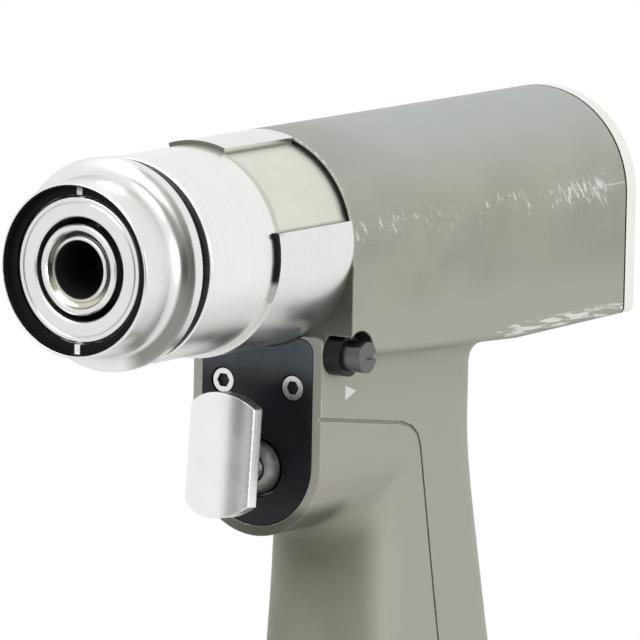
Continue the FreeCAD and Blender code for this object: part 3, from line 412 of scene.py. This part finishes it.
def mouth_steel():
    """Spindle: turned steel with painted light and shade: a black bore, a groove black on its
    shaded side, and groove and rim painted lit grey, darker towards the top, on the other.
    """
    steel = Finish("mouth_steel")
    x, y, z = spot = steel.place()
    out = radius_of(spot)
    rings = steel.rings(x, out, 0.12)
    smear = steel.grain(spot, 3.0, detail=4.0)
    bore = out.step(BORE_OUT + 0.15, BORE_OUT)
    rim = out.band(RIM_OUT, 0.35, 0.10)
    groove = out.band(GROOVE_OUT, 0.42, 0.12)
    # Painted light and shade: the groove and rim lit grey on one side, black on the other, the bore
    # black
    lit = ((y * 0.8 - z) / out).step(-0.5, 0.5)
    bright = steel.mix(smear, (0.66, 0.65, 0.62), (0.84, 0.84, 0.82))
    dull = steel.mix(z.step(1.0, -5.0), (0.22, 0.22, 0.20), (0.60, 0.59, 0.50))
    color = steel.mix((groove + rim).smaller(1.0) * lit, bright, dull)
    hole_shade = bore.larger(groove * x.step(0.1, 0.4) * (1.0 - lit))
    steel.paint(steel.mix(hole_shade, color, HOLE_SHADE_BLACK))
    steel.metal(1.0 - hole_shade * 0.9)
    steel.rough(0.20 + 0.12 * (rings - 0.5) + 0.14 * (smear - 0.5) + hole_shade * 0.4)
    steel.relief(rings, 0.005, ease=0.08)
    return steel.material


def blade_steel():
    """The trigger's blade: fine upright brushing on its face, small dents on its edges, and a
    painted highlight along its edges.
    """
    steel = Finish("blade_steel", metal=1.0)
    spot = steel.place()
    brush = steel.grain(spot, (0.5, 0.12, 4.0), detail=3.0)
    smear = steel.grain(spot, 6.0, detail=4.0)
    dents = steel.edges(0.3, 0.03, 0.10) * steel.grain(spot, 1.6, detail=2.0).step(0.58, 0.72)
    # Painted highlight along the edges
    rim = steel.edges(0.7, 0.01, 0.08)
    face = steel.mix(brush * 0.3 + smear * 0.7, (0.78, 0.80, 0.78), (0.87, 0.89, 0.87))
    steel.paint(steel.mix(rim, face, (0.97, 0.98, 0.97)))
    steel.rough(0.27 + 0.04 * (brush - 0.5) + 0.08 * (smear - 0.5) + dents * 0.1)
    steel.relief(brush * 0.012 - dents * 0.3, 0.008, ease=0.4)
    return steel.material


def land_steel():
    """Ring behind the sleeve: satin lands, duller windows, and painted shade on the lands' front
    step and in their corners.
    """
    steel = Finish("land_steel")
    x, y, z = spot = steel.place()
    out = radius_of(spot)
    rings = steel.rings(x, out, 0.16)
    smear = steel.grain(spot, 5.0, detail=3.0)
    land = steel.mix(rings * 0.4 + smear * 0.6, (0.71, 0.72, 0.70), (0.82, 0.83, 0.81))
    window = steel.mix(smear, (0.64, 0.65, 0.57), (0.74, 0.75, 0.66))
    color = steel.mix(out.step(LAND_OUT, WINDOW_OUT), land, window)
    # Painted shade on the lands' front step and, from closeness, in the corners
    front_step_shade = x.step(LAND_FRONT_X + 0.05, LAND_FRONT_X - 0.05) * out.step(20.95, 21.1)
    front_step_shade = front_step_shade * z.step(4.0, 7.0)
    dark = front_step_shade.larger(steel.openness(0.9).step(0.92, 0.60) * 0.8)
    steel.paint(steel.mix(dark, color, (0.10, 0.10, 0.085)))
    steel.metal(1.0 - dark * 0.7)
    steel.rough(0.30 + 0.10 * (rings - 0.5) + 0.10 * (smear - 0.5) + dark * 0.2)
    steel.relief(rings, 0.002)
    return steel.material


def collar_steel():
    """Release collar: bright turned steel, with a painted dark reflection in a band in the dip of
    its flare on one side.
    """
    steel = Finish("collar_steel", metal=1.0)
    x, y, z = spot = steel.place()
    out = radius_of(spot)
    rings = steel.rings(x, out, 0.25)
    smear = steel.grain(spot, 5.0, detail=3.0)
    color = steel.mix(rings * 0.4 + smear * 0.6, (0.74, 0.75, 0.73), (0.82, 0.82, 0.80))
    # Painted dark reflection in the flare, on one side
    band = x.band(FLARE_X, 0.4, 0.7) * out.step(FLARE_OUT, FLARE_OUT + 0.6) * y.step(-4.0, -9.5)
    steel.paint(steel.mix(band * 0.85, color, (0.17, 0.175, 0.155)))
    steel.rough(0.24 + 0.10 * (rings - 0.5) + 0.10 * (smear - 0.5) + band * 0.06)
    steel.relief(rings, 0.0012)
    return steel.material


def slot_shadow_black():
    """Strip in the slot beside the wide land: black as a painted shadow, bare steel at its narrow
    foot.
    """
    skin = Finish("slot_shadow_black", sheen=0.12)
    spot = skin.place()
    foot = spot[2].step(SLOT_FOOT_Z, SLOT_FOOT_Z - 1.8)
    haze = skin.grain(spot, 2.0, detail=2.0)
    # Black painted shadow above the foot
    skin.paint(skin.mix(foot, (0.005, 0.005, 0.0055), (0.55, 0.55, 0.52)))
    skin.metal(foot * 0.9)
    skin.rough(0.5 + 0.1 * haze - foot * 0.18)
    skin.relief(haze, 0.01, ease=0.15)
    return skin.material


def ferrule_steel(height):
    """Domed ring round the trigger's stem, whose axis is at a height in metres; painted light and
    shade make it paler above the stem, darker below and dark at its rim.
    """
    steel = Finish("ferrule_steel", metal=1.0)
    _, y, z = spot = steel.place()
    rise = z - height / MM
    smear = steel.grain(spot, 2.5, detail=3.0)
    out = (y * y + rise * rise).root() + (smear - 0.5) * 1.2
    # Painted light above the stem and painted shade below it and at the rim
    bright = steel.mix(rise.step(1.5, -3.5), (0.62, 0.63, 0.62), (0.24, 0.24, 0.20))
    steel.paint(steel.mix(out.step(3.3, 5.4), bright, (0.045, 0.048, 0.045)))
    steel.rough(0.38 + 0.10 * (smear - 0.5))
    steel.relief(smear, 0.01, ease=0.3)
    return steel.material


def screw_finish(name, face, inward, axis=0):
    """Bright screw heads with painted shade in their sockets.

    The sockets go inward, 1 or -1 along axis 0, 1 or 2, from the heads' face in metres.
    """
    steel = Finish(name)
    spot = steel.place()
    smear = steel.grain(spot, 1.2, detail=3.0)
    # Painted shade inside the sockets
    hole_shade = ((spot[axis] - face / MM) * inward).step(0.1, 0.35)
    bright = steel.mix(smear, (0.66, 0.66, 0.65), (0.84, 0.84, 0.83))
    steel.paint(steel.mix(hole_shade, bright, HOLE_SHADE_BLACK))
    steel.metal(1.0 - hole_shade)
    steel.rough(0.22 + 0.14 * smear + hole_shade * 0.3)
    steel.relief(smear, 0.006, ease=0.15)
    return steel.material


finishes = {
    "housing": hard_coat(),
    "cap_metal": brushed_metal("cap_metal", (0.90, 0.90, 0.86), 0.36, stretch=(3.0, 0.12, 3.0)),
    "bright_steel": turned_metal("bright_steel", (0.80, 0.80, 0.79), 0.24, 0.25, lines=0.0012),
    "satin_steel": turned_metal("satin_steel", (0.88, 0.88, 0.86), 0.30, 0.16, lines=0.003),
    "screw_steel": brushed_metal("screw_steel", (0.75, 0.75, 0.74), 0.26),
    "black_plate": plate_black(),
    "index_black": index_black(),
    "seal_rubber": moulded("seal_rubber", (0.005, 0.005, 0.0055), 0.55, sheen=0.12),
    "knob_black": moulded("knob_black", (0.006, 0.006, 0.0065), 0.36, sheen=0.3),
    "knob_grey": turned_metal("knob_grey", (0.15, 0.15, 0.145), 0.36, 0.2, lines=0.004),
    "bearing_steel": turned_metal("bearing_steel", (0.70, 0.70, 0.71), 0.24, 0.1),
    "gear_steel": brushed_metal("gear_steel", (0.55, 0.55, 0.56), 0.3, stretch=(3.0, 0.1, 0.1)),
    "spring_steel": brushed_metal("spring_steel", (0.5, 0.5, 0.5), 0.3),
    "motor_shell": turned_metal("motor_shell", (0.6, 0.6, 0.6), 0.34, 0.2),
    "core_iron": turned_metal("core_iron", (0.25, 0.25, 0.26), 0.45, 0.35),
    "winding_copper": turned_metal("winding_copper", (0.72, 0.34, 0.16), 0.35, 0.5, lines=0.1),
    "contact_brass": brushed_metal("contact_brass", (0.78, 0.6, 0.3), 0.26),
    "bush_bronze": turned_metal("bush_bronze", (0.58, 0.42, 0.22), 0.34, 0.15),
    "board_green": moulded("board_green", (0.02, 0.12, 0.05), 0.4),
    "inner_plastic": moulded("inner_plastic", (0.04, 0.04, 0.045), 0.45),
    "pack_plastic": moulded("pack_plastic", (0.035, 0.035, 0.038), 0.5, cell=0.6, depth=0.04),
    "lid_plastic": moulded("lid_plastic", (0.05, 0.05, 0.053), 0.5, cell=0.6, depth=0.03),
    "cell_wrap": moulded("cell_wrap", (0.05, 0.12, 0.3), 0.3),
}


# Pieces

behaviour = frame["record"]["behaviour"]
bodies_of = {name: body for body, names in behaviour["bodies"].items() for name in names}
slots_of = {entry["node"]: entry["material_slot"] for entry in frame["record"]["subparts"]}
travel_of = {joint["name"]: joint["range_m"][1]
             for joint in behaviour["joints"] if "range_m" in joint}


def new_piece(name, shape, material):
    """Object from a bmesh, in one material."""
    mesh = bpy.data.meshes.new(name)
    shape.to_mesh(mesh)
    shape.free()
    mesh.materials.append(material)
    piece = bpy.data.objects.new(name, mesh)
    bpy.context.scene.collection.objects.link(piece)
    return piece


def finish_piece(name, shape, slot, body, material=None):
    """Object from a bmesh, in its slot's finish or its own, riding on its body."""
    piece = new_piece(name, shape, material or finishes[slot])
    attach(piece, body)
    return piece


def soften(shape, angle):
    """Smooth shading, with edges sharper than an angle in degrees kept crisp."""
    for face in shape.faces:
        face.smooth = True
    for edge in shape.edges:
        edge.smooth = len(edge.link_faces) == 2 and edge.calc_face_angle() < math.radians(angle)


def dressed(node, material=None):
    """Welded, smoothly shaded copy of a CAD node that stands for it."""
    shape = bmesh.new()
    shape.from_mesh(nodes[node].data)
    bmesh.ops.remove_doubles(shape, verts=shape.verts, dist=0.002 * MM)
    soften(shape, 30.0)
    piece = finish_piece(node + "_dressed", shape, slots_of[node], bodies_of[node], material)
    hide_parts(node)
    return piece


for node, made in nodes.items():
    for holder in made.material_slots:
        holder.material = finishes[slots_of[node]]
    if not made.material_slots:
        made.data.materials.append(finishes[slots_of[node]])

STEM_GREY = (0.40, 0.41, 0.40)
dressed("spindle", mouth_steel())
dressed("trigger_blade", blade_steel())
dressed("land_ring", land_steel())
dressed("slot_seals", slot_shadow_black())
dressed("release_collar", collar_steel())
dressed("trigger_bush", turned_metal("bush_steel", STEM_GREY, 0.34, 0.3, lines=0.004))
dressed("trigger_stem", turned_metal("stem_steel", STEM_GREY, 0.42, 0.3, lines=0.002))
plate_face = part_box("trigger_plate_screws")[0].x
cap_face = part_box("rear_cap_screws")[1].x
lid_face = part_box("battery_lid_screws")[1].z
dressed("trigger_plate_screws", screw_finish("plate_screw_steel", plate_face, 1.0))
dressed("rear_cap_screws", screw_finish("cap_screw_steel", cap_face, -1.0))
dressed("battery_lid_screws", screw_finish("lid_screw_steel", lid_face, -1.0, axis=2))
for node in ("main_housing", "index_ring", "socket_ring", "neck_seal", "nose_sleeve",
             "nose_gasket", "trigger_plate", "selector_collars", "selector_knob_left",
             "selector_knob_right", "rear_cap", "rear_gasket", "wire_port", "cannula_tube",
             "dock_seal", "battery_lid", "battery_case"):
    dressed(node)


def pressed_spring(node, joint):
    """Coil spring, dressed with a mesh of its own; the share of its length that its joint's travel
    leaves is worked out but not used.
    """
    low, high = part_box(node)
    keep = 1.0 - travel_of[joint] / (high.x - low.x)
    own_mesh(dressed(node))


def stem_ferrule():
    """Domed steel ring on the face of the trigger's bush, round the stem."""
    low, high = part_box("trigger_bush")
    face, middle = low.x, (low.z + high.z) / 2.0
    dome = ((0.0, 5.8), (-1.5, 5.8), (-2.1, 5.4), (-2.8, 4.5), (-3.4, 3.6), (-3.6, 3.1), (0.0, 3.1))
    turns = 64
    shape = bmesh.new()
    loops = []
    for step in range(turns):
        a = 2.0 * math.pi * step / turns
        loops.append([shape.verts.new((face + x * MM,
                                       out * MM * math.sin(a),
                                       middle + out * MM * math.cos(a))) for x, out in dome])
    for index, loop in enumerate(loops):
        following = loops[(index + 1) % turns]
        for near in range(len(dome)):
            far = (near + 1) % len(dome)
            shape.faces.new((loop[near], loop[far], following[far], following[near]))
    bmesh.ops.recalc_face_normals(shape, faces=shape.faces)
    soften(shape, 32.0)
    finish_piece("stem_ferrule", shape, "satin_steel", "root", ferrule_steel(middle))


class Nodes:
    """A Geometry Nodes tree with named inputs."""

    def __init__(self, name):
        self.tree = bpy.data.node_groups.new(name, "GeometryNodeTree")
        self.keys = {}

    def entry(self, name, kind):
        """New named input of the tree."""
        socket = self.tree.interface.new_socket(name, in_out="INPUT",
                                                socket_type="NodeSocket" + kind)
        self.keys[name] = socket.identifier

    def node(self, kind, settings, links):
        made = self.tree.nodes.new(kind)
        for key, value in settings.items():
            setattr(made, key, value)
        for key, value in links.items():
            if isinstance(value, bpy.types.NodeSocket):
                self.tree.links.new(value, made.inputs[key])
            else:
                made.inputs[key].default_value = value
        return made

    def math(self, operation, first, second):
        """Socket with the result of one operation on two numbers or sockets."""
        made = self.node("ShaderNodeMath", {"operation": operation}, {0: first, 1: second})
        return made.outputs[0]


def rib_rows():
    """Tree for a row of long, half-sunk ribs on each side of the battery."""
    rows = Nodes("battery_rib_rows")
    for name, kind in (("Ribs", "Int"), ("Pitch", "Float"), ("Half Size", "Vector"),
                       ("Middle", "Vector"), ("Side", "Float"), ("Finish", "Material")):
        rows.entry(name, kind)
    sizes = rows.node("NodeGroupInput", {}, {}).outputs
    rib = rows.node("GeometryNodeMeshUVSphere", {},
                    {"Segments": 24, "Rings": 16, "Radius": 1.0}).outputs["Mesh"]
    smooth = rows.node("GeometryNodeSetShadeSmooth", {}, {"Geometry": rib}).outputs["Geometry"]
    step = rows.node("ShaderNodeCombineXYZ", {}, {"X": sizes["Pitch"]}).outputs[0]
    gaps = rows.math("SUBTRACT", sizes["Ribs"], 1.0)
    back = rows.math("MULTIPLY", rows.math("MULTIPLY", gaps, sizes["Pitch"]), -0.5)
    joined = rows.node("GeometryNodeJoinGeometry", {}, {})
    for side in (-1.0, 1.0):
        out = rows.math("MULTIPLY", sizes["Side"], side)
        shift = rows.node("ShaderNodeCombineXYZ", {}, {"X": back, "Y": out}).outputs[0]
        start = rows.node("ShaderNodeVectorMath", {"operation": "ADD"},
                          {0: sizes["Middle"], 1: shift}).outputs[0]
        line = rows.node("GeometryNodeMeshLine", {},
                         {"Count": sizes["Ribs"], "Start Location": start, "Offset": step})
        row = rows.node("GeometryNodeInstanceOnPoints", {},
                        {"Points": line.outputs[0], "Instance": smooth,
                         "Scale": sizes["Half Size"]})
        rows.tree.links.new(row.outputs[0], joined.inputs[0])
    real = rows.node("GeometryNodeRealizeInstances", {}, {"Geometry": joined.outputs[0]}).outputs[0]
    done = rows.node("GeometryNodeSetMaterial", {},
                     {"Geometry": real, "Material": sizes["Finish"]}).outputs[0]
    rows.tree.interface.new_socket("Geometry", in_out="OUTPUT", socket_type="NodeSocketGeometry")
    rows.node("NodeGroupOutput", {}, {"Geometry": done})
    return rows


def battery_ribs():
    """Moulded ribs for the fingers that pull the battery off."""
    low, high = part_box("battery_case")
    rows = rib_rows()
    piece = bpy.data.objects.new("battery_ribs", bpy.data.meshes.new("battery_ribs"))
    bpy.context.scene.collection.objects.link(piece)
    grower = piece.modifiers.new("rows", "NODES")
    grower.node_group = rows.tree
    sizes = {"Ribs": 9, "Pitch": 5.0 * MM, "Half Size": (1.1 * MM, 0.7 * MM, 13.0 * MM),
             "Middle": (low + high) / 2.0, "Side": high.y - 0.05 * MM,
             "Finish": finishes["pack_plastic"]}
    for name, value in sizes.items():
        grower[rows.keys[name]] = value
    graph = bpy.context.evaluated_depsgraph_get()
    mesh = bpy.data.meshes.new_from_object(piece.evaluated_get(graph), depsgraph=graph)
    piece.modifiers.clear()
    piece.data = mesh
    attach(piece, "battery")


pressed_spring("collar_spring", "collar_slide")
pressed_spring("trigger_spring", "trigger_slide")
stem_ferrule()
battery_ribs()


# Stage, light and camera

AZIMUTH, ELEVATION, ROLL = -56.741, 8.267, math.radians(1.123)
TARGET = Vector((88.0, 0.0, 0.0)) * MM
SHIFT_RIGHT, SHIFT_UP, DISTANCE = -1.002 * MM, -19.519 * MM, 1628.955 * MM
FOCAL_PIXELS, PICTURE_PIXELS, SENSOR = 7902.364, 640, 36.0
LAMP_AIM = Vector((0.09, 0.0, -0.02))
DIFFUSE_WORLD = 0.46
FLOOR_RADIUS, FLOOR_GAP = 12.0, 0.05 * MM
FLOOR_MIDDLE, FADE_START, FADE_END = 100.0, 100.0, 400.0


def towards(azimuth, elevation):
    """Unit vector from the drill towards an azimuth and elevation in degrees."""
    a, e = math.radians(azimuth), math.radians(elevation)
    return Vector((math.sin(a) * math.cos(e), -math.cos(a) * math.cos(e), math.sin(e)))


def facing(place, away):
    """Matrix of a lamp or card at a place, with its back to the direction away."""
    return Matrix.Translation(place) @ away.to_track_quat("Z", "Y").to_matrix().to_4x4()


def add_camera():
    back = towards(AZIMUTH, ELEVATION)
    turn = math.radians(AZIMUTH)
    level = Vector((math.cos(turn), math.sin(turn), 0.0))
    rise = back.cross(level)
    right = level * math.cos(ROLL) + rise * math.sin(ROLL)
    up = rise * math.cos(ROLL) - level * math.sin(ROLL)
    eye = TARGET + right * SHIFT_RIGHT + up * SHIFT_UP + back * DISTANCE
    lens = bpy.data.cameras.new("camera")
    lens.sensor_width = SENSOR
    lens.lens = FOCAL_PIXELS * SENSOR / PICTURE_PIXELS
    lens.clip_start, lens.clip_end = 0.05, 50.0
    camera = bpy.data.objects.new("camera", lens)
    camera.matrix_world = Matrix.Translation(eye) @ Matrix((right, up, back)).transposed().to_4x4()
    bpy.context.scene.collection.objects.link(camera)
    bpy.context.scene.camera = camera


def add_lamp(name, azimuth, elevation, distance, size, power):
    """Square soft light that faces the drill."""
    lamp = bpy.data.lights.new(name, "AREA")
    lamp.shape, lamp.size, lamp.energy = "SQUARE", size, power
    away = towards(azimuth, elevation)
    holder = bpy.data.objects.new(name, lamp)
    holder.matrix_world = facing(LAMP_AIM + away * distance, away)
    bpy.context.scene.collection.objects.link(holder)


def add_world():
    """Even white surroundings, dimmer as a light than as a background or a reflection."""
    world = bpy.data.worlds.new("surroundings")
    world.use_nodes = True
    tree = world.node_tree
    light = tree.nodes["Background"]
    light.inputs["Color"].default_value = (1.0, 1.0, 1.0, 1.0)
    ray = tree.nodes.new("ShaderNodeLightPath")
    seen = tree.nodes.new("ShaderNodeMath")
    seen.operation = "MAXIMUM"
    tree.links.new(ray.outputs["Is Camera Ray"], seen.inputs[0])
    tree.links.new(ray.outputs["Is Glossy Ray"], seen.inputs[1])
    strength = tree.nodes.new("ShaderNodeMapRange")
    strength.inputs["To Min"].default_value = DIFFUSE_WORLD
    strength.inputs["To Max"].default_value = 1.0
    tree.links.new(seen.outputs[0], strength.inputs["Value"])
    tree.links.new(strength.outputs[0], light.inputs["Strength"])
    bpy.context.scene.world = world


def floor_white():
    """Pale floor that fades into the background and gives little of its light back to the drill."""
    floor = Finish("floor_white", rough=0.9)
    x, y, _ = floor.place()
    onto_drill = floor.node("ShaderNodeLightPath", {}, {}, "Is Diffuse Ray")
    floor.paint(floor.mix(onto_drill, (0.86, 0.86, 0.86), (0.30, 0.30, 0.28)))
    along = x - FLOOR_MIDDLE
    far = (along * along + y * y).root().step(FADE_START, FADE_END)
    camera_ray = floor.node("ShaderNodeLightPath", {}, {}, "Is Camera Ray")
    glossy_ray = floor.node("ShaderNodeLightPath", {}, {}, "Is Glossy Ray")
    glow = floor.node("ShaderNodeEmission", {}, {"Color": (1.0, 1.0, 1.0), "Strength": 1.0})
    both = floor.tree.nodes.new("ShaderNodeMixShader")
    floor.feed(both.inputs[0], far * camera_ray.larger(glossy_ray))
    floor.tree.links.new(floor.shader.outputs[0], both.inputs[1])
    floor.tree.links.new(glow.socket, both.inputs[2])
    floor.tree.links.new(both.outputs[0], floor.tree.nodes["Material Output"].inputs["Surface"])
    return floor.material


def add_floor():
    """Round floor just under the battery."""
    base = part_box("battery_case")[0].z
    shape = bmesh.new()
    bmesh.ops.create_circle(shape, cap_ends=True, segments=64, radius=FLOOR_RADIUS)
    bmesh.ops.translate(shape, verts=shape.verts, vec=(0.0, 0.0, base - FLOOR_GAP))
    piece = new_piece("floor", shape, floor_white())


def add_card(name, away, width, height):
    """Dark card facing the drill, which only the steel's reflections show."""
    shape = bmesh.new()
    bmesh.ops.create_grid(shape, x_segments=1, y_segments=1, size=0.5)
    bmesh.ops.scale(shape, verts=shape.verts, vec=(width, height, 1.0))
    card = new_piece(name, shape, Finish(name, (0.16, 0.16, 0.15), 0.9).material)
    card.matrix_world = facing(away, away)
    card.visible_camera = card.visible_diffuse = False
    card.visible_shadow = card.visible_transmission = False


add_camera()
add_world()
add_floor()
add_card("card_side", Vector((-0.51, -0.35, -0.06)), width=0.50, height=0.36)
add_card("card_front", Vector((-0.62, 0.05, -0.14)), width=0.26, height=0.50)
add_lamp("key", azimuth=-100.0, elevation=38.0, distance=1.3, size=0.9, power=12.0)
add_lamp("top", azimuth=-20.0, elevation=70.0, distance=1.2, size=0.8, power=2.5)
add_lamp("side", azimuth=-6.0, elevation=2.0, distance=1.3, size=0.9, power=9.0)
bpy.context.scene.view_settings.view_transform = "Standard"
